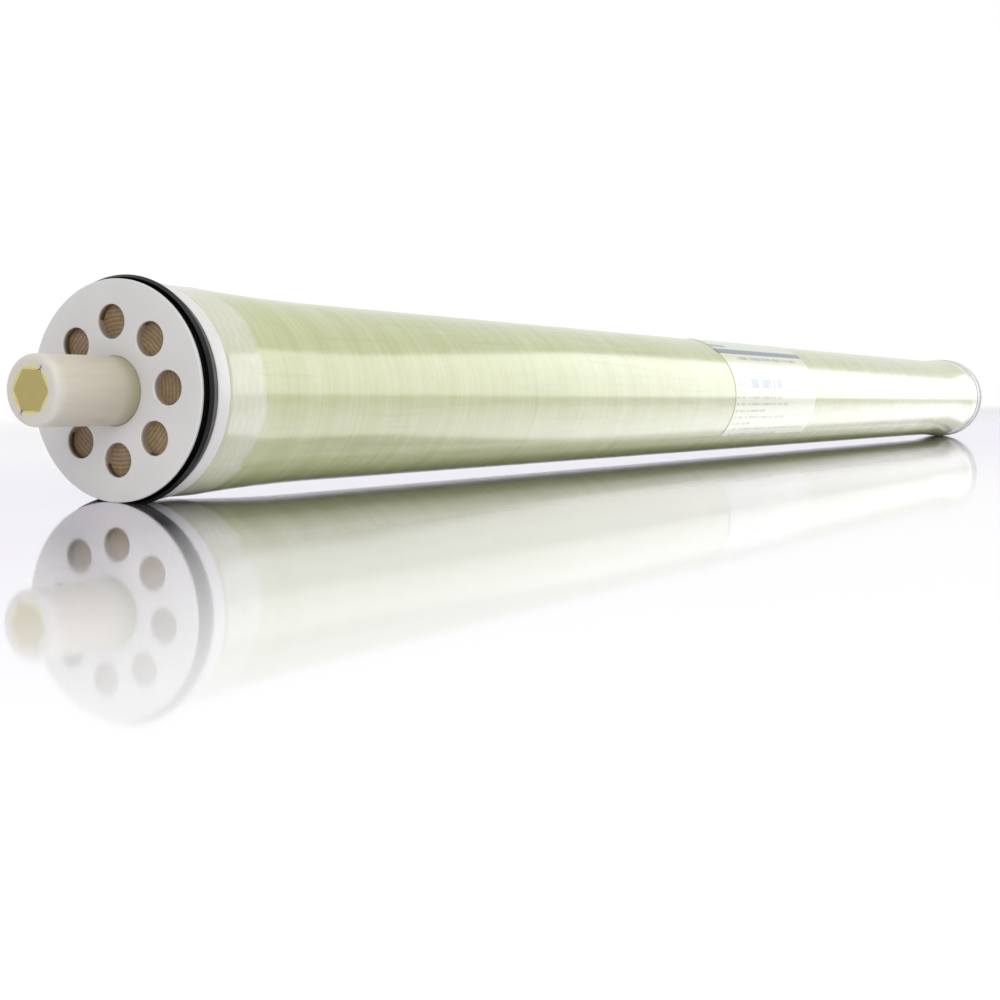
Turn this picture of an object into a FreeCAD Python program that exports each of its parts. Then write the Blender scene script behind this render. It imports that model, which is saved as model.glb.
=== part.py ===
# Spiral-wound reverse osmosis membrane element, 2.5 inch by 40 inch, millimetres.
# The permeate tube's axis is X, with the feed end at -X and +Z up. The origin is on the axis, half way along.
# Each piece is a body with its own Label and Placement, and its sizes come from the sheet called sizes.
import FreeCAD, Part
import math
import os
import re

import Sketcher

SIZES = (
    # Overall
    ("cap_span", 955.6, "outer face of one end cap to outer face of the other"),
    ("tube_reach", 30.2, "tube beyond each cap face"),
    # Permeate tube
    ("tube_od", 19.4, "tube inside the roll and caps"),
    ("end_turning", 0.2, "taken off the tube's radius where it projects, for the adaptors' seals"),
    ("tube_bore", 10.0, "tube inside"),
    ("hex_flats", 10.6, "driving socket across its flats"),
    ("socket_depth", 12.0, "driving socket depth"),
    ("tube_chamfer", 0.45, "chamfer on the tube's ends"),
    ("drain_hole_d", 2.0, "drilled permeate hole"),
    ("drain_margin", 47.8, "end of the roll to the nearest permeate hole"),
    ("drain_count", 10, "permeate holes in a row"),
    # Roll
    ("core_wrap_min", 0.3, "carrier cloth at its thinnest on the tube"),
    ("leaf_thick", 0.55, "membrane envelope with its carrier cloth"),
    ("spacer_thick", 0.65, "feed spacer net"),
    ("film_min", 0.45, "film and tape at their thinnest"),
    ("roll_d", 54.6, "finished roll over the film"),
    # End caps
    ("plate_thick", 2.5, "ported front plate"),
    ("front_rim", 1.1, "rim in front of the seal groove"),
    ("groove_width", 6.1, "seal groove"),
    ("groove_wall", 1.4, "wall between the roll and the groove's floor"),
    ("rim_height", 1.8, "both rims above the groove's floor"),
    ("rear_rim", 5.2, "rim behind the seal groove"),
    ("skirt_length", 14.6, "skirt behind the rear rim"),
    ("skirt_root_wall", 1.6, "skirt's wall at the rear rim"),
    ("skirt_tip_wall", 0.9, "skirt's wall at its tip"),
    ("rim_chamfer", 0.35, "broken edges of the rims"),
    ("port_outset", 0.4, "ports' centres outside the middle of the roll's end"),
    ("port_d", 9.5, "port"),
    ("port_count", 8, "ports in a cap"),
    ("port_angle", 85.1, "first port, degrees round from +Y towards +Z"),
    ("port_chamfer", 0.3, "chamfer at each port's mouth"),
    # Brine seal
    ("lip_reach", 1.3, "free lip beyond the cap's rims"),
    ("seal_width", 4.9, "inner leg"),
    ("seal_leg", 0.8, "thickness of the inner leg"),
    ("seal_heel", 1.6, "thickness of the heel"),
    ("heel_drop", 0.2, "heel below the cap's rims"),
    ("lip_setback", 0.5, "lip tip behind the leg's tip"),
    ("lip_bevel", 1.1, "front bevel of the lip along the axis"),
    ("lip_nose", 0.7, "front bevel of the lip along the radius"),
    ("laid_gap", 0.3, "between the lip's tip and the leg where the element lies on them"),
    # Shell
    ("shell_wall", 1.05, "wound wall on the roll"),
    ("flare_wall", 1.1, "wound wall on the skirt's root"),
    ("flare_run", 58.0, "taper from the skirt's tip to the plain barrel"),
    # Label
    ("label_start", 404.0, "feed cap face to the label"),
    ("label_length", 127.6, "along the axis"),
    ("label_height", 64.0, "round the shell"),
    ("label_thick", 0.2, "printed sheet with its clear cover"),
    ("label_angle", 157.0, "label's middle, degrees round from +Y towards +Z"),
)
ALIASES = {alias for alias, value, note in SIZES}
PIECES_DIR = "parts"
ORIGIN_POINT = (-1, 1)
START, END, CENTRE = 1, 2, 3
CLOSE = 1e-4

doc = FreeCAD.newDocument("membrane_element")
sheet = doc.addObject("Spreadsheet::Sheet", "sizes")
for row, (alias, value, note) in enumerate(SIZES, start=1):
    sheet.set(f"A{row}", note)
    sheet.set(f"B{row}", str(value))
    sheet.setAlias(f"B{row}", alias)
doc.recompute()

# The ruler holds one formula at a time, so that a sketch can be drawn where its constraints will hold it.
ruler = doc.addObject("App::FeaturePython", "ruler")
ruler.addProperty("App::PropertyFloat", "reading")


def bound(formula):
    """The formula with each size's alias spelled as a cell of the sheet."""
    return re.sub(r"[a-z]\w*", lambda word: f"sizes.{word.group()}" if word.group() in ALIASES else word.group(),
                  formula)


def measure(formula):
    """The formula's value with the sheet's present numbers."""
    ruler.setExpression("reading", bound(formula))
    ruler.recompute()
    return ruler.reading


def point(x_formula, y_formula):
    return FreeCAD.Vector(measure(x_formula), measure(y_formula), 0)


# ---------------------------------------------------------------- sketches

def new_body(label):
    body = doc.addObject("PartDesign::Body", label)
    body.Label = label
    return body


def new_sketch(body, role, name, offset=None):
    """A sketch on one of the body's origin planes, moved along its normal by the offset formula."""
    sketch = body.newObject("Sketcher::SketchObject", f"{body.Name}_{name}")
    plane = next(feature for feature in body.Origin.OriginFeatures if feature.Role == role)
    sketch.AttachmentSupport = [(plane, "")]
    sketch.MapMode = "FlatFace"
    if offset:
        sketch.setExpression("AttachmentOffset.Base.z", bound(offset))
    return sketch


def hold(sketch, kind, *where, to):
    """A dimension bound to a formula."""
    index = sketch.addConstraint(Sketcher.Constraint(kind, *where, measure(to)))
    sketch.renameConstraint(index, f"size_{index}")
    sketch.setExpression(f"Constraints.size_{index}", bound(to))


def hold_point(sketch, edge, end, x_formula, y_formula):
    """A point held to its distances from the sketch's axes."""
    for kind, formula, axis in (("DistanceX", x_formula, -2), ("DistanceY", y_formula, -1)):
        if formula == "0":
            sketch.addConstraint(Sketcher.Constraint("PointOnObject", edge, end, axis))
        else:
            hold(sketch, kind, *ORIGIN_POINT, edge, end, to=formula)


def outline(sketch, corners, arcs=(), smooth=()):
    """A closed outline through the corners, each held to the sheet.

    A side starts at the corner of its own number. Those in arcs are arcs that leave level at their smooth corner.
    """
    places = [point(*corner) for corner in corners]
    count = len(places)
    ends = []
    for side, start in enumerate(places):
        following = (side + 1) % count
        if side in arcs and side in smooth:
            ends.append(add_arc(sketch, start, places[following]))
        elif side in arcs:
            ends.append(add_arc(sketch, places[following], start)[::-1])
        else:
            sketch.addGeometry(Part.LineSegment(start, places[following]))
            ends.append((START, END))
    for side, corner in enumerate(corners):
        before = side - 1 if side else count - 1
        joint = "Tangent" if side in smooth else "Coincident"
        sketch.addConstraint(Sketcher.Constraint(joint, before, ends[before][1], side, ends[side][0]))
        hold_point(sketch, side, ends[side][0], *corner)


def add_arc(sketch, level, raised):
    """An arc that leaves level at one point and rises to the other, with which of its ends is at each."""
    run = raised.x - level.x
    rise = raised.y - level.y
    radius = (run ** 2 + rise ** 2) / (2 * rise)
    level_angle = -math.pi / 2
    raised_angle = level_angle + 2 * math.atan2(rise, run if run > 0 else -run) * (1 if run > 0 else -1)
    centre = FreeCAD.Vector(level.x, level.y + radius, 0)
    sketch.addGeometry(Part.ArcOfCircle(Part.Circle(centre, FreeCAD.Vector(0, 0, 1), radius),
                                        min(level_angle, raised_angle), max(level_angle, raised_angle)))
    return (START, END) if run > 0 else (END, START)


def circle(sketch, diameter, x_formula="0", y_formula="0"):
    edge = sketch.addGeometry(Part.Circle(point(x_formula, y_formula), FreeCAD.Vector(0, 0, 1),
                                          measure(diameter) / 2))
    hold(sketch, "Diameter", edge, to=diameter)
    hold_point(sketch, edge, CENTRE, x_formula, y_formula)
    return edge


# ---------------------------------------------------------------- features

def revolve(body, sketch):
    """The sketch turned a full circle about the element's axis."""
    turned = body.newObject("PartDesign::Revolution", f"{sketch.Name}_turned")
    turned.Profile = sketch
    turned.ReferenceAxis = (sketch, ["H_Axis"])
    turned.Angle = 360
    doc.recompute()
    return turned


def part_turn(turned, angle):
    """Cuts a revolution down to this many degrees, half of them on each side of its sketch."""
    turned.Midplane = True
    turned.setExpression("Angle", bound(angle))
    doc.recompute()


def pad(body, sketch, length, both_ways=False):
    padded = body.newObject("PartDesign::Pad", f"{sketch.Name}_pad")
    padded.Profile = sketch
    padded.setExpression("Length", bound(length))
    if both_ways:
        padded.SideType = "Symmetric"
    doc.recompute()
    return padded


def pocket(body, sketch, depth=None, reverse=False):
    """A cut of the stated depth, or right through both ways where none is stated."""
    before = body.Shape.Volume
    cut = body.newObject("PartDesign::Pocket", f"{sketch.Name}_cut")
    cut.Profile = sketch
    if depth:
        cut.Type = "Length"
        cut.setExpression("Length", bound(depth))
    else:
        cut.Type = "ThroughAll"
        cut.SideType = "Symmetric"
    cut.Reversed = reverse
    doc.recompute()
    require_cut(body, cut, before)
    return cut


def require_cut(body, feature, before):
    if body.Shape.Volume >= before - CLOSE:
        raise RuntimeError(f"{feature.Name} cuts nothing")


def repeat(body, kind, original, direction, count, span_name, span):
    """A pattern of one feature. The body's tip moves to it."""
    before = body.Shape.Volume
    pattern = body.newObject(f"PartDesign::{kind}", f"{original.Name}_{kind}")
    pattern.Originals = [original]
    setattr(pattern, "Axis" if kind == "PolarPattern" else "Direction", direction)
    if span_name == "Offset":
        pattern.Mode = "Spacing"
    pattern.setExpression("Occurrences", bound(count))
    pattern.setExpression(span_name, bound(span))
    body.Tip = pattern
    doc.recompute()
    require_cut(body, pattern, before)
    return pattern


def rings_at(places, off_axis="0"):
    """A test for circular edges at these (x, diameter) places, centred this far from the element's axis."""
    wanted = [(measure(x), measure(diameter) / 2, measure(off_axis)) for x, diameter in places]

    def wanted_ring(edge):
        if not isinstance(edge.Curve, Part.Circle):
            return False
        centre = edge.Curve.Center
        found = (centre.x, edge.Curve.Radius, math.hypot(centre.y, centre.z))
        return any(all(abs(a - b) < CLOSE for a, b in zip(found, one)) for one in wanted)
    return wanted_ring


def break_edges(body, size, wanted):
    """A chamfer on the wanted edges of the body so far."""
    base = body.Tip
    names = [f"Edge{index}" for index, edge in enumerate(base.Shape.Edges, start=1) if wanted(edge)]
    chamfer = body.newObject("PartDesign::Chamfer", f"{body.Name}_{size}")
    chamfer.Base = (base, names)
    chamfer.setExpression("Size", bound(size))
    before = body.Shape.Volume
    doc.recompute()
    require_cut(body, chamfer, before)


def place(body, x_formula, turned=False):
    """Body at this distance along the axis, facing back along it where turned."""
    if turned:
        body.Placement = FreeCAD.Placement(FreeCAD.Vector(), FreeCAD.Rotation(FreeCAD.Vector(0, 0, 1), 180))
    body.setExpression("Placement.Base.x", bound(x_formula))


def mirrored(corners):
    """Corners of the half at -X, followed by their mirror images in the reverse order."""
    return corners + [(f"-({x})", y) for x, y in reversed(corners)]


# ---------------------------------------------------------------- permeate tube

TUBE_END = "(cap_span / 2 + tube_reach)"
ROLL_LENGTH = "(cap_span - 2 * plate_thick)"
DRAIN_PITCH = f"(({ROLL_LENGTH} - 2 * drain_margin) / (drain_count - 1 / 2))"


def permeate_tube():
    body = new_body("permeate_tube")
    barrel = new_sketch(body, "YZ_Plane", "barrel")
    circle(barrel, "tube_od")
    pad(body, barrel, "cap_span", both_ways=True)
    end_od = "(tube_od - 2 * end_turning)"
    ends = new_sketch(body, "YZ_Plane", "ends")
    circle(ends, end_od)
    pad(body, ends, "cap_span + 2 * tube_reach", both_ways=True)
    bore = new_sketch(body, "YZ_Plane", "bore")
    circle(bore, "tube_bore")
    pocket(body, bore)

    flats = "hex_flats / 2"
    half_side = "hex_flats / 2 / sqrt(3)"
    corner = "hex_flats / sqrt(3)"
    socket = new_sketch(body, "YZ_Plane", "socket", offset=TUBE_END)
    outline(socket, [(corner, "0"), (half_side, flats), (f"-{half_side}", flats),
                     (f"-{corner}", "0"), (f"-{half_side}", f"-{flats}"), (half_side, f"-{flats}")])
    socket_cut = pocket(body, socket, "socket_depth")
    before = body.Shape.Volume
    other_end = body.newObject("PartDesign::Mirrored", "permeate_tube_other_socket")
    other_end.Originals = [socket_cut]
    other_end.MirrorPlane = (socket.AttachmentSupport[0][0], [""])
    body.Tip = other_end
    doc.recompute()
    require_cut(body, other_end, before)

    # Two rows of holes go through both walls, a quarter turn and half a pitch apart.
    first = f"(drain_margin - {ROLL_LENGTH} / 2)"
    for role, start in (("XZ_Plane", first), ("XY_Plane", f"{first} + {DRAIN_PITCH} / 2")):
        drill = new_sketch(body, role, f"drill_{role[:2]}")
        circle(drill, "drain_hole_d", start)
        hole = pocket(body, drill)
        repeat(body, "LinearPattern", hole, (drill, ["H_Axis"]), "drain_count", "Offset", DRAIN_PITCH)
    break_edges(body, "tube_chamfer", rings_at([(TUBE_END, end_od), (f"-{TUBE_END}", end_od)]))
    return body


# ---------------------------------------------------------------- roll

# The roll winds from semicircles. Those above the axis are centred half a layer to one side, those below it
# half a layer to the other, and each is one layer wider than the last, so that two sheets wound together
# touch all along.
LAYER = "(leaf_thick + spacer_thick)"
CORE = f"(tube_od / 2 + core_wrap_min + {LAYER} / 2)"
half_turns = math.floor((measure("roll_d / 2 - film_min") - measure(f"{CORE} + {LAYER} / 2")) / measure(LAYER))


def half_circle(sketch, half_turn, radius):
    """A semicircle of the roll: above the axis for an even half turn, below it for an odd one."""
    above = half_turn % 2 == 0
    centre = f"-{LAYER} / 2" if above else f"{LAYER} / 2"
    first_angle = 0 if above else math.pi
    edge = sketch.addGeometry(Part.ArcOfCircle(
        Part.Circle(point(centre, "0"), FreeCAD.Vector(0, 0, 1), measure(radius)), first_angle, first_angle + math.pi))
    hold(sketch, "Radius", edge, to=radius)
    hold_point(sketch, edge, CENTRE, centre, "0")
    for end in (START, END):
        sketch.addConstraint(Sketcher.Constraint("PointOnObject", edge, end, -1))
    return edge


def step(sketch, one, one_end, other, other_end):
    """The straight edge across a sheet's thickness, between the ends of two semicircles."""
    edge = sketch.addGeometry(Part.LineSegment(sketch.getPoint(one, one_end), sketch.getPoint(other, other_end)))
    sketch.addConstraint(Sketcher.Constraint("Coincident", edge, START, one, one_end))
    sketch.addConstraint(Sketcher.Constraint("Coincident", edge, END, other, other_end))


def winding(label, inner, thickness, half_a_turn_on):
    """One sheet of the roll, as wide as the roll is long."""
    body = new_body(label)
    section = new_sketch(body, "YZ_Plane", "section")
    inside = [half_circle(section, turn, f"{inner} + {turn} * {LAYER}") for turn in range(half_turns)]
    outside = [half_circle(section, turn, f"{inner} + {thickness} + {turn} * {LAYER}") for turn in range(half_turns)]
    step(section, inside[0], START, outside[0], START)
    step(section, inside[-1], END, outside[-1], END)
    pad(body, section, ROLL_LENGTH, both_ways=True)
    if half_a_turn_on:
        body.Placement = FreeCAD.Placement(FreeCAD.Vector(), FreeCAD.Rotation(FreeCAD.Vector(1, 0, 0), 180))
    return body


def wound_wrap(label, wound_radius, round_diameter):
    """The piece between a round and the stepped outline that two sheets leave."""
    body = new_body(label)
    section = new_sketch(body, "YZ_Plane", "section")
    upper = half_circle(section, 0, wound_radius)
    lower = half_circle(section, 1, wound_radius)
    step(section, upper, START, lower, END)
    step(section, upper, END, lower, START)
    circle(section, round_diameter)
    pad(body, section, ROLL_LENGTH, both_ways=True)
    return body


def roll():
    core = wound_wrap("carrier_core_wrap", CORE, "tube_od")
    sheets = []
    for number, half_a_turn_on in ((1, False), (2, True)):
        sheets.append(winding(f"membrane_leaf_{number}", CORE, "leaf_thick", half_a_turn_on))
        sheets.append(winding(f"feed_spacer_{number}", f"{CORE} + leaf_thick", "spacer_thick", half_a_turn_on))
    film = wound_wrap("roll_film_wrap", f"{CORE} + {half_turns} * {LAYER}", "roll_d")
    return [core, *sheets, film]


# ---------------------------------------------------------------- end caps and seal

RIMS = "(front_rim + groove_width + rear_rim)"
GROOVE_FLOOR = "(roll_d / 2 + groove_wall)"
CAP_RADIUS = f"({GROOVE_FLOOR} + rim_height)"
CAP_OD = f"(2 * {CAP_RADIUS})"
SKIRT_ROOT = "(roll_d / 2 + skirt_root_wall)"
SKIRT_TIP = "(roll_d / 2 + skirt_tip_wall)"
PORT_CIRCLE = "(roll_d / 4 + tube_od / 4 + port_outset)"


def end_cap(label, x_formula, turned):
    """A cap from its outer face at x = 0 inwards along +X."""
    body = new_body(label)
    section = new_sketch(body, "XZ_Plane", "section")
    groove_end = "front_rim + groove_width"
    skirt_tip = f"{RIMS} + skirt_length"
    outline(section, [("0", "tube_od / 2"), ("0", CAP_RADIUS), ("front_rim", CAP_RADIUS),
                      ("front_rim", GROOVE_FLOOR), (groove_end, GROOVE_FLOOR),
                      (groove_end, CAP_RADIUS), (RIMS, CAP_RADIUS), (RIMS, SKIRT_ROOT),
                      (skirt_tip, SKIRT_TIP), (skirt_tip, "roll_d / 2"),
                      ("plate_thick", "roll_d / 2"), ("plate_thick", "tube_od / 2")])
    revolve(body, section)
    ports = new_sketch(body, "YZ_Plane", "ports")
    circle(ports, "port_d", f"{PORT_CIRCLE} * cos(port_angle)", f"{PORT_CIRCLE} * sin(port_angle)")
    port = pocket(body, ports, "plate_thick", reverse=True)
    repeat(body, "PolarPattern", port, (ports, ["N_Axis"]), "port_count", "Angle", "360")
    break_edges(body, "rim_chamfer", rings_at([("0", CAP_OD), (groove_end, CAP_OD), (RIMS, CAP_OD)]))
    break_edges(body, "port_chamfer", rings_at([("0", "port_d")], PORT_CIRCLE))
    place(body, x_formula, turned)
    return body


def brine_seal(x_formula):
    """U-cup in the cap's groove, open towards the feed, with the cap's outer face at x = 0.

    The element lies on the soft lip, which is laid down there until the cap's rims take the weight.
    """
    body = new_body("brine_seal")
    section = new_sketch(body, "XZ_Plane", "section")
    back = "(front_rim + groove_width)"
    leg_tip = f"({back} - seal_width)"
    lip_tip = f"({leg_tip} + lip_setback)"
    leg_top = f"{GROOVE_FLOOR} + seal_leg"
    lip = f"({CAP_RADIUS} + lip_reach)"
    outline(section, [(back, GROOVE_FLOOR), (leg_tip, GROOVE_FLOOR), (leg_tip, leg_top),
                      (f"{back} - seal_heel", leg_top), (lip_tip, f"{lip} - lip_nose"),
                      (f"{lip_tip} + lip_bevel", lip), (back, f"{CAP_RADIUS} - heel_drop")])
    revolve(body, section)
    laid_lip = new_sketch(body, "XZ_Plane", "laid_lip")
    outline(laid_lip, [(f"{back} - seal_heel", f"-({leg_top})"), (lip_tip, f"-({leg_top} + laid_gap)"),
                       (lip_tip, f"-({lip} - lip_nose)")])
    part_turn(revolve(body, laid_lip), f"2 * acos({CAP_RADIUS} / ({lip} - lip_nose))")
    ground = new_sketch(body, "YZ_Plane", "ground")
    below = f"-({lip} + lip_reach)"
    outline(ground, [(f"-{lip}", f"-{CAP_RADIUS}"), (lip, f"-{CAP_RADIUS}"), (lip, below), (f"-{lip}", below)])
    pocket(body, ground)
    place(body, x_formula)
    return body


# ---------------------------------------------------------------- shell and label

BARREL = "(roll_d / 2 + shell_wall)"


def frp_shell():
    """Wound wall that fills up to what it covers: the film between the caps, and the skirts at the ends."""
    body = new_body("frp_shell")
    section = new_sketch(body, "XZ_Plane", "section")
    mouth = f"-(cap_span / 2 - {RIMS})"
    skirt_tip = f"-(cap_span / 2 - {RIMS} - skirt_length)"
    barrel = f"-(cap_span / 2 - {RIMS} - skirt_length - flare_run)"
    flare = f"{SKIRT_ROOT} + flare_wall"
    inner = mirrored([(mouth, SKIRT_ROOT), (skirt_tip, SKIRT_TIP), (skirt_tip, "roll_d / 2")])
    outer = mirrored([(mouth, flare), (skirt_tip, flare), (barrel, BARREL)])
    outline(section, inner + outer[::-1], arcs=(7, 9), smooth=(8, 9))
    revolve(body, section)
    return body


def label():
    """Curved sheet on the shell's barrel, made about the top and turned to its place."""
    body = new_body("label")
    section = new_sketch(body, "XZ_Plane", "section")
    left = "(label_start - cap_span / 2)"
    right = f"({left} + label_length)"
    outer = f"({BARREL} + label_thick)"
    outline(section, [(left, BARREL), (left, outer), (right, outer), (right, BARREL)])
    part_turn(revolve(body, section), f"label_height / {BARREL} * 180 / pi")
    body.Placement = FreeCAD.Placement(FreeCAD.Vector(), FreeCAD.Rotation(FreeCAD.Vector(1, 0, 0), 1))
    body.setExpression("Placement.Rotation.Angle", bound("label_angle - 90"))
    return body


pieces = [permeate_tube(), *roll()]
pieces.append(end_cap("feed_end_cap", "-cap_span / 2", turned=False))
pieces.append(end_cap("concentrate_end_cap", "cap_span / 2", turned=True))
pieces.append(brine_seal("-cap_span / 2"))
pieces.append(frp_shell())
pieces.append(label())
doc.recompute()

for thing in doc.Objects:
    if {"Invalid", "Error"} & set(thing.State):
        raise RuntimeError(f"{thing.Name} is {thing.State}")
for piece in pieces:
    if piece.Shape.isNull() or not piece.Shape.isValid():
        raise RuntimeError(f"{piece.Label} has no valid shape")
os.makedirs(PIECES_DIR, exist_ok=True)
for piece in pieces:
    piece.Shape.exportStep(f"{PIECES_DIR}/{piece.Label}.step")
    print(piece.Label, len(piece.Shape.Solids), round(piece.Shape.Volume), piece.Shape.BoundBox)
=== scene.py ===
# Looks for the spiral-wound reverse osmosis element.
# Lengths are in metres. The element's axis is X, and its feed end is at -X.
import math

import bmesh
import bpy
from mathutils import Matrix, Quaternion, Vector, noise

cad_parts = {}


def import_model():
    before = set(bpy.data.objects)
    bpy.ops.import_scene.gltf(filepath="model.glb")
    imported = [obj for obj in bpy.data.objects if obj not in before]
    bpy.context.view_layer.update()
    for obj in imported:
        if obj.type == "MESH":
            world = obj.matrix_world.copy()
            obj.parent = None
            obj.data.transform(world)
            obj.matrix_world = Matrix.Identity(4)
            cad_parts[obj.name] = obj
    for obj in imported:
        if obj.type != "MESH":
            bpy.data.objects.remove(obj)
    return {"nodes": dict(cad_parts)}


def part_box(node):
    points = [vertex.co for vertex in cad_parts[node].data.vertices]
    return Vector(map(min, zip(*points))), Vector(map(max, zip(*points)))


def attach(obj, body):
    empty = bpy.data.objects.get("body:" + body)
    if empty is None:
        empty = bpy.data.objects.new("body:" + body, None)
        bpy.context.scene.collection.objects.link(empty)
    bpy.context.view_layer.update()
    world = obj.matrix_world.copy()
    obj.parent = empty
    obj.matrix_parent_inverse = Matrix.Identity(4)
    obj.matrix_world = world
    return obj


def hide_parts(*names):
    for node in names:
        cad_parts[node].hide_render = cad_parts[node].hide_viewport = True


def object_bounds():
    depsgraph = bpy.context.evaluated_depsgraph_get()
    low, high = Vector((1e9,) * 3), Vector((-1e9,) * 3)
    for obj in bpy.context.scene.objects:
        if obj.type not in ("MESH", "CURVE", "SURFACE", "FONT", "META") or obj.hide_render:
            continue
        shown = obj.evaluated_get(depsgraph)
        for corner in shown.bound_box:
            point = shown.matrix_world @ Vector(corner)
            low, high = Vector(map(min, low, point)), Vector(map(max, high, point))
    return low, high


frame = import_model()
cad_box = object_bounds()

MM = 0.001
AXIS = (1, 0, 0)
CENTRE = (0, 0, 0)
CLOSE = 0.001 * MM
WELD = 0.002 * MM
COPY_WELD = 0.003 * MM

# Places that the rigid pieces give
FLOOR_LEVEL = cad_box[0].z
SHELL_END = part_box("frp_shell")[1].x
TUBE_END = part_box("permeate_tube")[1].x
CAP_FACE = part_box("concentrate_end_cap")[1].x
SKIRT_TIP = -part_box("feed_end_cap")[1].x
LABEL_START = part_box("label")[0].x
LABEL_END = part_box("label")[1].x

# Shell: radii, then the rounding of its mouths, how finely it is divided, and its waves
BARREL_RADIUS = 28.35 * MM
FLARE_RADIUS = 30.0 * MM
FLARE_RUN = 58.0 * MM
SKIRT_ROOT = 28.9 * MM
SKIRT_MOUTH = 28.2 * MM
ROLL_RADIUS = 27.3 * MM
MOUTH_ROUNDING = 0.5 * MM
SHELL_STEPS = 192
BARREL_SPACING = 4.2 * MM
FLARE_SPACING = 2.0 * MM
WALL_MARGIN = 0.5 * MM
LINING_MARGIN = 0.3 * MM
WAVE_DEPTH = 0.05 * MM
SLOW_GRAIN = (34 * MM, 17 * MM)
QUICK_GRAIN = (7 * MM, 26 * MM)
WAVE_MIDDLE, SLOW_SHARE, QUICK_SHARE = 0.5, 0.32, 0.18

# Permeate tube
STUB_RADIUS = 9.5 * MM
TUBE_RADIUS = 9.7 * MM
BORE_RADIUS = 5.0 * MM
HEX_FLATS = 10.6 * MM
HEX_SIDES = 6
SOCKET_DEPTH = 12.0 * MM
END_ROUNDING = 1.7 * MM
TUBE_STEPS = 96

# Label: its top edge is this many degrees up from +Y, and its arc goes on round the -Y side
LABEL_THICK = 0.2 * MM
LABEL_TOP_ANGLE = 92.33
LABEL_ARC = 129.34
LABEL_STEPS = 72

# Edges sharper than this many degrees stay crisp
WALL_CREASE = 40
MOULDING_CREASE = 30
SEAL_CREASE = 25

# Camera and light
LENS = 55.68
SENSOR_WIDTH = 36.0
NEAREST_SEEN = 0.01
CAMERA_PLACE = (-795.83 * MM, -297.29 * MM, 9.78 * MM)
CAMERA_AHEAD = (0.87200, 0.48222, -0.08417)
CAMERA_ROLL = 2.13
FLOOR_HALF_WIDTH = 20.0
WHITE = (1, 1, 1, 1)
SURROUND_AS_LIGHT = 0.62
SURROUND_AS_SEEN = 1.0
# Name, place, aim, width, height and watts
LAMPS = (
    ("softbox_above", (-0.2, -0.6, 1.6), (0, 0, 0), 1.6, 0.8, 11),
    ("softbox_front", (-1.6, -0.8, 0.7), (-0.3, 0, 0), 0.9, 0.9, 8),
    ("panel_far_side", (2.4, -1.45, 0.78), (0, -0.3, 0.74), 2.5, 1.6, 30),
)


# ---------------------------------------------------------------- modelling

def new_piece(name, bm, sharp_angle):
    """The finished mesh as an object, smooth except at edges sharper than this."""
    bmesh.ops.remove_doubles(bm, verts=bm.verts, dist=WELD)
    bmesh.ops.recalc_face_normals(bm, faces=bm.faces)
    for face in bm.faces:
        face.smooth = True
    mesh = bpy.data.meshes.new(name)
    bm.to_mesh(mesh)
    bm.free()
    mesh.set_sharp_from_angle(angle=math.radians(sharp_angle))
    piece = bpy.data.objects.new(name, mesh)
    bpy.context.scene.collection.objects.link(piece)
    return piece


def fit(piece, node, material):
    """The piece stands for the node, rides with it and takes this material."""
    piece.data.materials.clear()
    piece.data.materials.append(material)
    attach(piece, "root")
    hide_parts(node)


def turn(bm, corners, steps, divisions=(), closed=False):
    """Turns a line of (distance along X, radius) corners once round the axis, from underneath.

    Each division gives a stretch of X, the radius that it keeps outside, and how finely it is cut.
    """
    verts = [bm.verts.new((x, 0, -radius)) for x, radius in corners]
    pairs = list(zip(verts, verts[1:]))
    if closed:
        pairs.append((verts[-1], verts[0]))
    for pair in pairs:
        bm.edges.new(pair)
    for low, high, inside, spacing in divisions:
        runs = [edge for edge in bm.edges if edge.calc_length() > spacing
                and all(low - CLOSE < vert.co.x < high + CLOSE and -vert.co.z > inside
                        for vert in edge.verts)]
        bmesh.ops.subdivide_edges(bm, edges=runs, cuts=int((high - low) / spacing))
    bmesh.ops.spin(bm, geom=bm.verts[:] + bm.edges[:], cent=CENTRE, axis=AXIS, dvec=CENTRE,
                   angle=math.tau, steps=steps, use_merge=True)


def flared(x):
    """Outer radius of the shell: plain on the barrel, then curving out to the skirts."""
    past = max(0.0, abs(x) - (SKIRT_TIP - FLARE_RUN))
    if past >= FLARE_RUN:
        return FLARE_RADIUS
    rise = FLARE_RADIUS - BARREL_RADIUS
    sweep = (FLARE_RUN ** 2 + rise ** 2) / (2 * rise)
    return BARREL_RADIUS + sweep - math.sqrt(sweep ** 2 - past ** 2)


def grain_at(x, y, z, grain):
    """Noise from about -1 to 1 whose grain has this length along the axis and this one across."""
    along, across = grain
    return noise.noise(Vector((x / along, y / across, z / across)))


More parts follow.
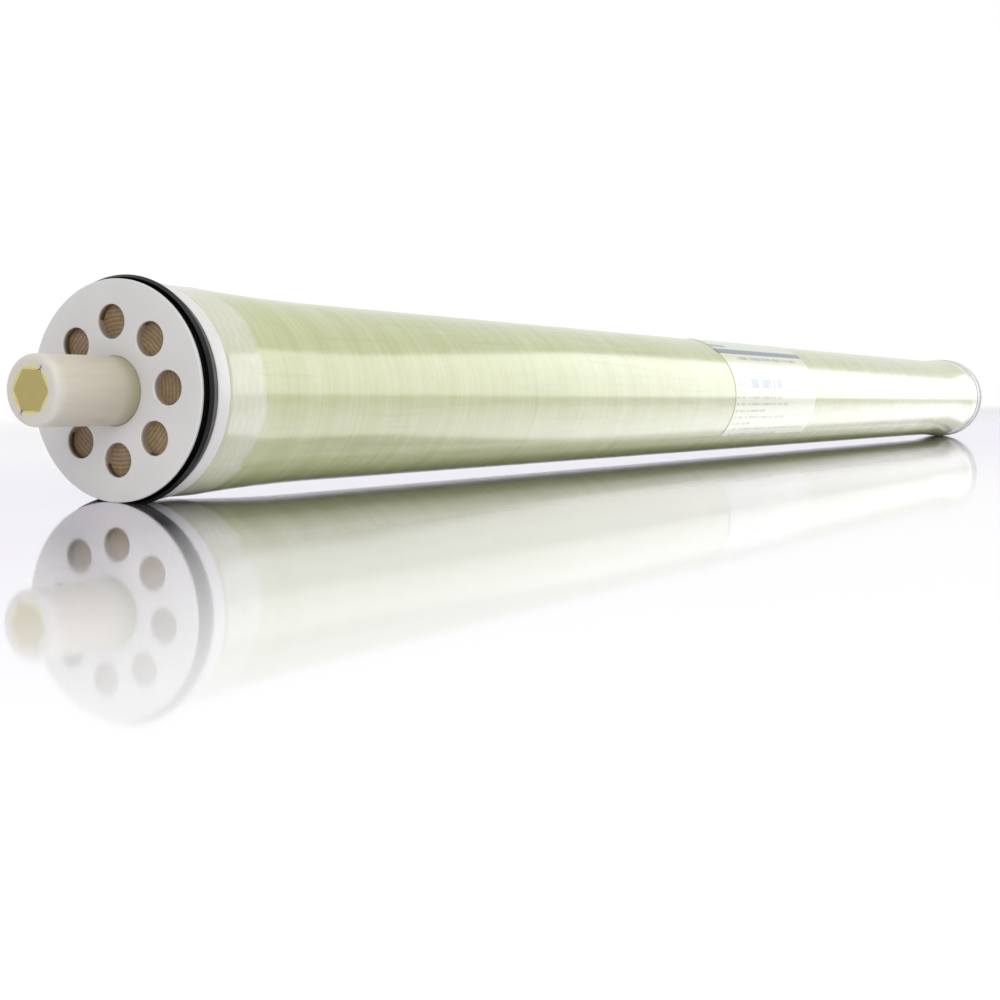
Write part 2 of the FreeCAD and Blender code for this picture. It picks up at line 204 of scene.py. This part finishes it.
def wound_shell():
    """The laid-up wall: its surface keeps the slight waves of the rovings under the resin."""
    barrel_end = SKIRT_TIP - FLARE_RUN
    skirt_end = SHELL_END - MOUTH_ROUNDING
    eased = 0.3 * MOUTH_ROUNDING
    half = [(SHELL_END, SKIRT_ROOT), (SHELL_END, FLARE_RADIUS - MOUTH_ROUNDING),
            (SHELL_END - eased, FLARE_RADIUS - eased), (skirt_end, FLARE_RADIUS),
            (SKIRT_TIP, FLARE_RADIUS), (barrel_end, BARREL_RADIUS)]
    outer = [(-x, radius) for x, radius in half] + half[::-1]
    inner = [(SKIRT_TIP, SKIRT_MOUTH), (SKIRT_TIP, ROLL_RADIUS),
             (-SKIRT_TIP, ROLL_RADIUS), (-SKIRT_TIP, SKIRT_MOUTH)]
    divisions = [(-barrel_end, barrel_end, ROLL_RADIUS + WALL_MARGIN, BARREL_SPACING)]
    for low, high in ((-SKIRT_TIP, -barrel_end), (barrel_end, SKIRT_TIP)):
        divisions.append((low, high, ROLL_RADIUS + WALL_MARGIN, FLARE_SPACING))
    for low, high in ((-skirt_end, -SKIRT_TIP), (SKIRT_TIP, skirt_end)):
        divisions.append((low, high, SKIRT_ROOT + WALL_MARGIN, FLARE_SPACING))
    bm = bmesh.new()
    turn(bm, outer + inner, SHELL_STEPS, divisions, closed=True)
    for vert in bm.verts:
        x, y, z = vert.co
        radius = math.hypot(y, z)
        lining = SKIRT_ROOT if abs(x) > SKIRT_TIP - MM else ROLL_RADIUS
        if radius < lining + LINING_MARGIN or abs(x) > SHELL_END - 1.2 * MOUTH_ROUNDING:
            continue
        wave = (WAVE_MIDDLE + SLOW_SHARE * grain_at(x, y, z, SLOW_GRAIN)
                + QUICK_SHARE * grain_at(x, y, z, QUICK_GRAIN))
        smaller = (flared(x) - max(0.0, min(1.0, wave)) * WAVE_DEPTH) / radius
        vert.co = (x, y * smaller, z * smaller)
    return new_piece("wound_shell", bm, WALL_CREASE)


def ring_in_plane(bm, x, radius, sides):
    """A loop of edges round the axis, facing along it, with a corner at +Y."""
    made = bmesh.ops.create_circle(bm, segments=sides, radius=radius, cap_ends=False)["verts"]
    facing = Matrix.Rotation(math.pi / 2, 4, "Z") @ Matrix.Rotation(math.pi / 2, 4, "X")
    bmesh.ops.transform(bm, matrix=Matrix.Translation((x, 0, 0)) @ facing, verts=made)
    first = max(made, key=lambda vert: vert.co.y)
    turned = math.atan2(first.co.z, first.co.y)
    bmesh.ops.rotate(bm, verts=made, cent=(x, 0, 0), matrix=Matrix.Rotation(-turned, 3, "X"))
    return list({edge for vert in made for edge in vert.link_edges})


def drawn_inwards(bm, edges, depth):
    """Extrudes a loop along the axis towards mid-length, and returns the new loop."""
    made = bmesh.ops.extrude_edge_only(bm, edges=edges)["geom"]
    verts = [item for item in made if isinstance(item, bmesh.types.BMVert)]
    bmesh.ops.translate(bm, verts=verts, vec=(-math.copysign(depth, verts[0].co.x), 0, 0))
    return [item for item in made if isinstance(item, bmesh.types.BMEdge)
            and all(vert in verts for vert in item.verts)]


def permeate_pipe():
    """The extruded tube with rounded ends, a hexagonal socket in each and the round bore between."""
    bm = bmesh.new()
    angles = [math.radians(angle) for angle in range(0, 91, 15)]
    rounded = [(TUBE_END - END_ROUNDING * (1 - math.cos(angle)),
                STUB_RADIUS - END_ROUNDING * (1 - math.sin(angle))) for angle in angles]
    half = rounded + [(CAP_FACE, STUB_RADIUS), (CAP_FACE, TUBE_RADIUS)]
    turn(bm, half + [(-x, radius) for x, radius in half[::-1]], TUBE_STEPS)
    hex_corner = HEX_FLATS / math.sqrt(3)
    for side in (1, -1):
        face_loop = [edge for edge in bm.edges if len(edge.link_faces) == 1
                     and all(abs(vert.co.x - side * TUBE_END) < 10 * CLOSE for vert in edge.verts)]
        hexagon = ring_in_plane(bm, side * TUBE_END, hex_corner, HEX_SIDES)
        bmesh.ops.subdivide_edges(bm, edges=hexagon, cuts=TUBE_STEPS // HEX_SIDES - 1)
        hexagon = [edge for edge in bm.edges if not edge.link_faces]
        socket_floor = drawn_inwards(bm, hexagon, SOCKET_DEPTH)
        bmesh.ops.bridge_loops(bm, edges=face_loop + hexagon)
        bore = ring_in_plane(bm, side * (TUBE_END - SOCKET_DEPTH), BORE_RADIUS, TUBE_STEPS)
        bmesh.ops.bridge_loops(bm, edges=socket_floor + bore)
    bore_ends = [edge for edge in bm.edges if len(edge.link_faces) == 1]
    bmesh.ops.bridge_loops(bm, edges=bore_ends)
    return new_piece("permeate_pipe", bm, MOULDING_CREASE)


def printed_sheet():
    """The label: one smooth curved sheet, a little proud of the barrel."""
    bm = bmesh.new()
    inner, outer = BARREL_RADIUS - WAVE_DEPTH, BARREL_RADIUS + LABEL_THICK
    corners = [(LABEL_START, inner), (LABEL_START, outer), (LABEL_END, outer), (LABEL_END, inner)]
    verts = [bm.verts.new((x, radius, 0)) for x, radius in corners]
    up_to_top = Matrix.Rotation(math.radians(LABEL_TOP_ANGLE), 3, "X")
    bmesh.ops.rotate(bm, verts=verts, cent=CENTRE, matrix=up_to_top)
    edges = [bm.edges.new(pair) for pair in zip(verts, verts[1:] + verts[:1])]
    bmesh.ops.spin(bm, geom=verts + edges, cent=CENTRE, axis=AXIS, dvec=CENTRE,
                   angle=math.radians(LABEL_ARC), steps=LABEL_STEPS)
    ends = [edge for edge in bm.edges if len(edge.link_faces) == 1]
    bmesh.ops.holes_fill(bm, edges=ends, sides=4)
    return new_piece("printed_sheet", bm, WALL_CREASE)


def merged_copy(name, node, sharp_angle):
    """A copy of a rigid piece with its triangles joined up, so that it shades as one moulding."""
    bm = bmesh.new()
    bm.from_mesh(frame["nodes"][node].data)
    bmesh.ops.transform(bm, matrix=frame["nodes"][node].matrix_world, verts=bm.verts)
    bmesh.ops.remove_doubles(bm, verts=bm.verts, dist=COPY_WELD)
    bmesh.ops.dissolve_degenerate(bm, edges=bm.edges, dist=COPY_WELD)
    piece = new_piece(name, bm, sharp_angle)
    weighted = piece.modifiers.new("even_shading", "WEIGHTED_NORMAL")
    weighted.keep_sharp = True
    return piece


# ---------------------------------------------------------------- materials

def linear(code):
    """An sRGB colour written as #RRGGBB, as the linear colour that the shaders take."""
    parts = [int(code[place:place + 2], 16) / 255 for place in (1, 3, 5)]
    return tuple(c / 12.92 if c <= 0.04045 else ((c + 0.055) / 1.055) ** 2.4 for c in parts) + (1.0,)


def new_material(name, **plain):
    """A material and its shader, with the plain values set on the shader's own sockets."""
    material = bpy.data.materials.new(name)
    material.use_nodes = True
    shader = material.node_tree.nodes["Principled BSDF"]
    for socket, value in plain.items():
        shader.inputs[socket.replace("_", " ")].default_value = value
    return material, shader


def add(material, kind, links=None, output=0, **settings):
    """Adds a node, sets it, links or sets its inputs, and returns one of its outputs."""
    node = material.node_tree.nodes.new("ShaderNode" + kind)
    for name, value in settings.items():
        setattr(node, name, value)
    for socket, value in (links or {}).items():
        if isinstance(value, bpy.types.NodeSocket):
            material.node_tree.links.new(value, node.inputs[socket])
        else:
            node.inputs[socket].default_value = value
    return node.outputs[output]


def finish_with(material, shader, **links):
    """Links patterns to the shader's sockets, and returns the finished material."""
    for socket, value in links.items():
        material.node_tree.links.new(value, shader.inputs[socket.replace("_", " ")])
    return material


def per_mm(x, y, z):
    """Pattern scales for a grain of this many millimetres along each axis."""
    return 1 / (x * MM), 1 / (y * MM), 1 / (z * MM)


def off_axis(material, place):
    """How far a point lies from the element's axis."""
    across = add(material, "VectorMath", {0: place, 1: (0, 1, 1)}, operation="MULTIPLY")
    return add(material, "VectorMath", {0: across}, 1, operation="LENGTH")


def off_middle(material, place):
    """How far a point lies from mid-length, along the axis."""
    along = add(material, "SeparateXYZ", {0: place}, 0)
    return add(material, "Math", {0: along}, operation="ABSOLUTE")


def round_axis(material, place):
    """The angle of a point round the axis, 0 at the top and growing towards +Y."""
    side = add(material, "SeparateXYZ", {0: place}, 1)
    up = add(material, "SeparateXYZ", {0: place}, 2)
    return add(material, "Math", {0: side, 1: up}, operation="ARCTAN2")


def moulded_abs():
    """White ABS, injection moulded: even and satin, with a faint bloom from the mould's polish."""
    material, shader = new_material("moulded_white_abs", Roughness=0.4, IOR=1.53, Subsurface_Weight=0.15,
                                    Subsurface_Radius=(1.0, 0.9, 0.8), Subsurface_Scale=1.5 * MM)
    place = add(material, "TexCoord", output="Object")
    bloom = add(material, "TexNoise", {"Vector": place, "Scale": 60.0, "Detail": 3.0})
    flow = add(material, "TexNoise", {"Vector": place, "Scale": 420.0, "Detail": 2.0})
    colour = add(material, "Mix", {0: bloom, 6: linear("#C6C5C2"), 7: linear("#CFCDCB")}, 2, data_type="RGBA")
    # Painted shade: the ports' walls are tinted a darker brown deeper in, where shade falls inside the ports.
    port_shade_depth = add(material, "MapRange", {0: off_middle(material, place), 1: CAP_FACE - 0.2 * MM,
                                      2: CAP_FACE - 1.3 * MM, 3: 0.0, 4: 0.85})
    in_ports = add(material, "MapRange", {0: off_axis(material, place), 1: 25 * MM, 2: 26 * MM,
                                          3: 1.0, 4: 0.0})
    brown_tone = add(material, "Math", {0: port_shade_depth, 1: in_ports}, operation="MULTIPLY")
    colour = add(material, "Mix", {0: brown_tone, 6: colour, 7: linear("#857560")}, 2, data_type="RGBA")
    rough = add(material, "MapRange", {0: flow, 3: 0.36, 4: 0.46})
    relief = add(material, "Bump", {"Height": flow, "Strength": 0.06, "Distance": 0.05 * MM})
    return finish_with(material, shader, Base_Color=colour, Roughness=rough, Normal=relief)


def nitrile_rubber():
    """Black nitrile, compression moulded: matt, with a dusty bloom that greys its raised lip."""
    material, shader = new_material("moulded_nitrile_rubber", IOR=1.52, Specular_IOR_Level=0.22)
    place = add(material, "TexCoord", output="Object")
    dust = add(material, "TexNoise", {"Vector": place, "Scale": 240.0, "Detail": 4.0})
    colour = add(material, "Mix", {0: dust, 6: linear("#0C0B0C"), 7: linear("#171516")}, 2, data_type="RGBA")
    rough = add(material, "MapRange", {0: dust, 3: 0.38, 4: 0.55})
    relief = add(material, "Bump", {"Height": dust, "Strength": 0.15, "Distance": 0.05 * MM})
    return finish_with(material, shader, Base_Color=colour, Roughness=rough, Normal=relief)


def translucent_tube():
    """Unfilled ivory plastic, extruded, into which light sinks: painted light gives it a yellow glow inside
    and paler ends, and painted shade turns it olive at the cap.
    """
    material, shader = new_material("extruded_ivory_plastic", IOR=1.54, Subsurface_Weight=0.45,
                                    Subsurface_Radius=(1.0, 0.92, 0.7), Subsurface_Scale=2.5 * MM)
    place = add(material, "TexCoord", output="Object")
    from_middle = off_middle(material, place)
    drawn = add(material, "Mapping", {"Vector": place, "Scale": per_mm(14, 1.6, 1.6)})
    lines = add(material, "TexNoise", {"Vector": drawn, "Scale": 1.0, "Detail": 3.0})
    ivory = add(material, "Mix", {0: lines, 6: linear("#B5AE9E"), 7: linear("#C2BBAB")}, 2, data_type="RGBA")
    # Painted shade: the tube is coloured olive close to the cap, where shade falls at the joint.
    painted_cap_shade = add(material, "MapRange", {0: from_middle, 1: CAP_FACE, 2: CAP_FACE + 7 * MM,
                                          3: 1.0, 4: 0.0}, interpolation_type="SMOOTHSTEP")
    shaded = add(material, "Mix", {0: painted_cap_shade, 6: ivory, 7: linear("#9B9577")}, 2, data_type="RGBA")
    # Painted light: the rounded ends are coloured paler, standing in for light showing through the thin
    # plastic.
    painted_tip_light = add(material, "MapRange", {0: from_middle, 1: TUBE_END - 5 * MM, 2: TUBE_END,
                                        3: 0.0, 4: 0.75}, interpolation_type="SMOOTHSTEP")
    pale = add(material, "Mix", {0: painted_tip_light, 6: shaded, 7: linear("#C9C7C0")}, 2, data_type="RGBA")
    # Painted glow: the socket and bore are coloured yellow, standing in for light coming in through the
    # walls.
    inside = add(material, "MapRange", {0: off_axis(material, place), 1: 6.0 * MM, 2: 6.6 * MM,
                                        3: 1.0, 4: 0.0})
    colour = add(material, "Mix", {0: inside, 6: pale, 7: linear("#CFC27E")}, 2, data_type="RGBA")
    rough = add(material, "MapRange", {0: lines, 3: 0.3, 4: 0.44})
    relief = add(material, "Bump", {"Height": lines, "Strength": 0.12, "Distance": 0.05 * MM})
    return finish_with(material, shader, Base_Color=colour, Roughness=rough, Normal=relief)


def wound_resin():
    """Epoxy over wound glass rovings: green-grey and glossy, with hoop streaks and dry patches."""
    material, shader = new_material("wound_glass_and_resin", IOR=1.55)
    place = add(material, "TexCoord", output="Object")
    along = add(material, "SeparateXYZ", {0: place}, 0)
    # Rovings about 1.6 mm wide run round the hoop, and are drawn long enough to read as streaks.
    hoops = add(material, "Mapping", {"Vector": place, "Scale": per_mm(1.6, 34, 34),
                                      "Rotation": (0, 0, 0.05)})
    streaks = add(material, "TexNoise", {"Vector": hoops, "Scale": 1.0, "Detail": 5.0, "Roughness": 0.62})
    bands = add(material, "TexNoise", {"Vector": hoops, "Scale": 0.16, "Detail": 2.0})
    runs = add(material, "Mapping", {"Vector": place, "Scale": per_mm(60, 2.2, 2.2)})
    lengthwise = add(material, "TexNoise", {"Vector": runs, "Scale": 1.0, "Detail": 3.0})
    patches = add(material, "TexNoise", {"Vector": place, "Scale": 75.0, "Detail": 5.0, "Roughness": 0.6})
    # Turns cross 17 to the round each way, a whole number, so that they meet underneath.
    round_it = round_axis(material, place)
    crossings = []
    for turns in (17.0, -17.0):
        lead = add(material, "Math", {0: along, 1: math.tau / (3.1 * MM)}, operation="MULTIPLY")
        phase = add(material, "Math", {0: round_it, 1: turns, 2: lead}, operation="MULTIPLY_ADD")
        crossings.append(add(material, "Math", {0: phase}, operation="SINE"))
    mesh = add(material, "Math", {0: crossings[0], 1: crossings[1]}, operation="MAXIMUM")
    ragged = add(material, "Math", {0: patches, 1: 9 * MM, 2: off_middle(material, place)},
                 operation="MULTIPLY_ADD")
    on_skirt = add(material, "MapRange", {0: ragged, 1: SKIRT_TIP + 2 * MM, 2: SKIRT_TIP + 5.5 * MM},
                   interpolation_type="SMOOTHSTEP")
    # Each layer is how far it covers the resin under it, and its colour.
    thick = add(material, "MapRange", {0: bands, 1: 0.35, 2: 0.7, 3: 0.0, 4: 0.3})
    scored = add(material, "MapRange", {0: lengthwise, 1: 0.55, 2: 0.75, 3: 0.0, 4: 0.28})
    dry = add(material, "MapRange", {0: patches, 1: 0.55, 2: 0.78, 3: 0.0, 4: 0.4})
    resin = linear("#949A68")
    for cover, tint in ((streaks, "#B7BC90"), (thick, "#BCC09C"), (scored, "#868C60"), (dry, "#BFC2A4")):
        resin = add(material, "Mix", {0: cover, 6: resin, 7: linear(tint)}, 2, data_type="RGBA")
    netted = add(material, "MapRange", {0: mesh, 1: 0.2, 2: 1.0, 3: 0.2, 4: 0.5})
    skirt = add(material, "Mix", {0: netted, 6: linear("#BABBA6"), 7: linear("#CBCBC0")}, 2,
                data_type="RGBA")
    speckle = add(material, "MapRange", {0: patches, 1: 0.3, 2: 0.6, 3: 0.45, 4: 0.95})
    skirt = add(material, "Mix", {0: speckle, 6: resin, 7: skirt}, 2, data_type="RGBA")
    colour = add(material, "Mix", {0: on_skirt, 6: resin, 7: skirt}, 2, data_type="RGBA")
    rough = add(material, "MapRange", {0: streaks, 1: 0.3, 2: 0.7, 3: 0.09, 4: 0.22})
    ridge = add(material, "Math", {0: mesh, 1: 0.05, 2: streaks}, operation="MULTIPLY_ADD")
    relief = add(material, "Bump", {"Height": ridge, "Strength": 0.35, "Distance": 0.04 * MM})
    return finish_with(material, shader, Base_Color=colour, Roughness=rough, Normal=relief)


def printed_label():
    """Printed film under a clear cover: pale and glossy, with a slate bar and unequal lines."""
    material, shader = new_material("printed_film", IOR=1.5)
    place = add(material, "TexCoord", output="Object")
    along = add(material, "SeparateXYZ", {0: place}, 0)
    start = add(material, "Math", {0: along, 1: LABEL_START}, operation="SUBTRACT")
    top = math.radians(90 - LABEL_TOP_ANGLE)
    past_top = add(material, "Math", {0: top, 1: round_axis(material, place)}, operation="SUBTRACT")
    down = add(material, "Math", {0: past_top, 1: BARREL_RADIUS}, operation="MULTIPLY")
    broken = add(material, "Mapping", {"Vector": place, "Scale": per_mm(2.4, 60, 60)})
    words = add(material, "TexNoise", {"Vector": broken, "Scale": 1.0, "Detail": 2.0})
    gaps = add(material, "MapRange", {0: words, 1: 0.42, 2: 0.5, 3: 0.35, 4: 1.0})
    grain = add(material, "TexNoise", {"Vector": place, "Scale": 130.0, "Detail": 4.0})
    colour = add(material, "Mix", {0: grain, 6: linear("#BDC1A4"), 7: linear("#CBCEB8")}, 2, data_type="RGBA")

    def bar(under, left, right, above, below, ink, strength, is_text):
        """Ink between two distances along the label and two distances down it, in millimetres."""
        wide = add(material, "Math", {0: start, 1: (left + right) / 2 * MM,
                                      2: (right - left) / 2 * MM}, operation="COMPARE")
        tall = add(material, "Math", {0: down, 1: (above + below) / 2 * MM,
                                      2: (below - above) / 2 * MM}, operation="COMPARE")
        here = add(material, "Math", {0: wide, 1: tall}, operation="MULTIPLY")
        if is_text:
            here = add(material, "Math", {0: here, 1: gaps}, operation="MULTIPLY")
        inked = add(material, "Math", {0: here, 1: strength}, operation="MULTIPLY")
        return add(material, "Mix", {0: inked, 6: under, 7: linear(ink)}, 2, data_type="RGBA")

    length, depth = (LABEL_END - LABEL_START) / MM, 64
    colour = bar(colour, 0, length, 0, 14.6, "#B4BDB8", 0.5, False)
    colour = bar(colour, 1, 21, 10.6, 13.4, "#5C6672", 0.8, False)
    colour = bar(colour, 0, length, 14.9, 18.7, "#42526A", 0.92, False)
    colour = bar(colour, 20, 112, 20.6, 22.6, "#7D848A", 0.75, True)
    colour = bar(colour, 2, 16, 33.2, 37.6, "#8B93A0", 0.6, False)
    colour = bar(colour, 20, 72, 33.6, 38.4, "#5F7192", 0.7, True)
    lines = ((2, 68), (2, 80), (2, 45), (3, 79), (4, 30), (7, 119), (8, 80))
    first_line, line_spacing, line_height = 42.4, 3.4, 1.3
    for number, (left, right) in enumerate(lines):
        above = first_line + line_spacing * number
        colour = bar(colour, left, right, above, above + line_height, "#8B8F8C", 0.7, True)
    colour = bar(colour, length - 1, length, 0, depth, "#6F756F", 0.6, False)
    rough = add(material, "MapRange", {0: grain, 3: 0.14, 4: 0.24})
    relief = add(material, "Bump", {"Height": grain, "Strength": 0.12, "Distance": 0.05 * MM})
    return finish_with(material, shader, Base_Color=colour, Roughness=rough, Normal=relief)


def roll_edge(name, dark, pale, rough_low, rough_high):
    """The cut edge of one sheet of the roll: glued, stained brown and fibrous."""
    material, shader = new_material(name, IOR=1.48)
    place = add(material, "TexCoord", output="Object")
    fibres = add(material, "TexNoise", {"Vector": place, "Scale": 900.0, "Detail": 4.0})
    brown_tone = add(material, "TexNoise", {"Vector": place, "Scale": 130.0, "Detail": 2.0})
    both = add(material, "Math", {0: fibres, 1: brown_tone}, operation="MULTIPLY")
    factor = add(material, "MapRange", {0: both, 1: 0.12, 2: 0.42})
    colour = add(material, "Mix", {0: factor, 6: linear(dark), 7: linear(pale)}, 2, data_type="RGBA")
    rough = add(material, "MapRange", {0: fibres, 3: rough_low, 4: rough_high})
    relief = add(material, "Bump", {"Height": fibres, "Strength": 0.5, "Distance": 0.1 * MM})
    return finish_with(material, shader, Base_Color=colour, Roughness=rough, Normal=relief)


ABS = moulded_abs()
RUBBER = nitrile_rubber()
IVORY = translucent_tube()
RESIN = wound_resin()
FILM = printed_label()
LEAF = roll_edge("glued_membrane_edge", "#6A553B", "#866F50", 0.45, 0.7)
NET = roll_edge("cut_polypropylene_net", "#7B664A", "#968160", 0.4, 0.65)
TAPE = roll_edge("wound_polyester_tape", "#7A6A4C", "#9A8B6C", 0.35, 0.5)
CLOTH = roll_edge("knitted_polyester_cloth", "#6E5C40", "#8E7C5C", 0.6, 0.8)

NODE_MATERIALS = {
    "feed_end_cap": ABS,
    "concentrate_end_cap": ABS,
    "brine_seal": RUBBER,
    "permeate_tube": IVORY,
    "frp_shell": RESIN,
    "label": FILM,
    "membrane_leaf_1": LEAF,
    "membrane_leaf_2": LEAF,
    "feed_spacer_1": NET,
    "feed_spacer_2": NET,
    "roll_film_wrap": TAPE,
    "carrier_core_wrap": CLOTH,
}
for node, material in NODE_MATERIALS.items():
    mesh = frame["nodes"][node].data
    mesh.materials.clear()
    mesh.materials.append(material)

fit(wound_shell(), "frp_shell", RESIN)
fit(permeate_pipe(), "permeate_tube", IVORY)
fit(printed_sheet(), "label", FILM)
for name, node, crease, slot, material in (
        ("feed_cap", "feed_end_cap", MOULDING_CREASE, "cap", ABS),
        ("concentrate_cap", "concentrate_end_cap", MOULDING_CREASE, "cap", ABS),
        ("lip_seal", "brine_seal", SEAL_CREASE, "seal", RUBBER)):
    fit(merged_copy(name, node, crease), node, material)


# ---------------------------------------------------------------- floor, light and camera

def floor():
    """White acrylic sheet, cast: it mirrors the element strongly near it and less further off."""
    bm = bmesh.new()
    bmesh.ops.create_grid(bm, x_segments=1, y_segments=1, size=FLOOR_HALF_WIDTH)
    bmesh.ops.translate(bm, verts=bm.verts, vec=(0, 0, FLOOR_LEVEL))
    piece = new_piece("studio_floor", bm, MOULDING_CREASE)
    material = bpy.data.materials.new("white_gloss_floor")
    material.use_nodes = True
    material.node_tree.nodes.remove(material.node_tree.nodes["Principled BSDF"])
    place = add(material, "TexCoord", output="Object")
    across = add(material, "SeparateXYZ", {0: place}, 1)
    distance = add(material, "Math", {0: across}, operation="ABSOLUTE")
    mirror = add(material, "MapRange", {0: distance, 1: 45 * MM, 2: 170 * MM, 3: 0.97, 4: 0.3})
    matt = add(material, "BsdfDiffuse", {"Color": linear("#F4F4F4")})
    gloss = add(material, "BsdfAnisotropic", {"Color": linear("#F3F1F8"), "Roughness": 0.05})
    surface = add(material, "MixShader", {0: mirror, 1: matt, 2: gloss})
    # Far off, the camera sees it as plain white.
    white = add(material, "Emission", {"Color": WHITE, "Strength": 1.0})
    seen = add(material, "LightPath", output="Is Camera Ray")
    far = add(material, "MapRange", {0: distance, 1: 250 * MM, 2: 450 * MM},
              interpolation_type="SMOOTHSTEP")
    swap = add(material, "Math", {0: seen, 1: far}, operation="MULTIPLY")
    shown = add(material, "MixShader", {0: swap, 1: surface, 2: white})
    surface_socket = material.node_tree.nodes["Material Output"].inputs["Surface"]
    material.node_tree.links.new(shown, surface_socket)
    piece.data.materials.append(material)


def lamp(name, place, aim, width, height, power):
    """A soft panel facing its aim, which the camera doesn't see itself."""
    light = bpy.data.lights.new(name, "AREA")
    light.shape = "RECTANGLE"
    light.size = width
    light.size_y = height
    light.energy = power
    piece = bpy.data.objects.new(name, light)
    piece.location = place
    piece.visible_camera = False
    piece.rotation_euler = (Vector(aim) - Vector(place)).to_track_quat("-Z", "Y").to_euler()
    bpy.context.scene.collection.objects.link(piece)


def world():
    """White all round, and dimmer as a light than as what the camera and the gloss see."""
    surround = bpy.data.worlds.new("white_studio")
    surround.use_nodes = True
    bpy.context.scene.world = surround
    background = surround.node_tree.nodes["Background"]
    camera_ray = add(surround, "LightPath", output="Is Camera Ray")
    glossy_ray = add(surround, "LightPath", output="Is Glossy Ray")
    clear_ray = add(surround, "LightPath", output="Is Transmission Ray")
    seen = add(surround, "Math", {0: camera_ray, 1: glossy_ray}, operation="MAXIMUM")
    seen = add(surround, "Math", {0: seen, 1: clear_ray}, operation="MAXIMUM")
    strength = add(surround, "MapRange", {0: seen, 3: SURROUND_AS_LIGHT, 4: SURROUND_AS_SEEN})
    surround.node_tree.links.new(strength, background.inputs["Strength"])
    background.inputs["Color"].default_value = WHITE


def camera():
    """Low and close to the feed end, looking along the element, and rolled a little."""
    view = bpy.data.cameras.new("camera")
    view.lens = LENS
    view.sensor_width = SENSOR_WIDTH
    view.clip_start = NEAREST_SEEN
    piece = bpy.data.objects.new("camera", view)
    piece.location = CAMERA_PLACE
    level = Vector(CAMERA_AHEAD).to_track_quat("-Z", "Y")
    piece.rotation_mode = "QUATERNION"
    piece.rotation_quaternion = level @ Quaternion((0, 0, 1), math.radians(CAMERA_ROLL))
    bpy.context.scene.collection.objects.link(piece)
    bpy.context.scene.camera = piece


floor()
world()
for settings in LAMPS:
    lamp(*settings)
camera()
bpy.context.scene.view_settings.view_transform = "Standard"
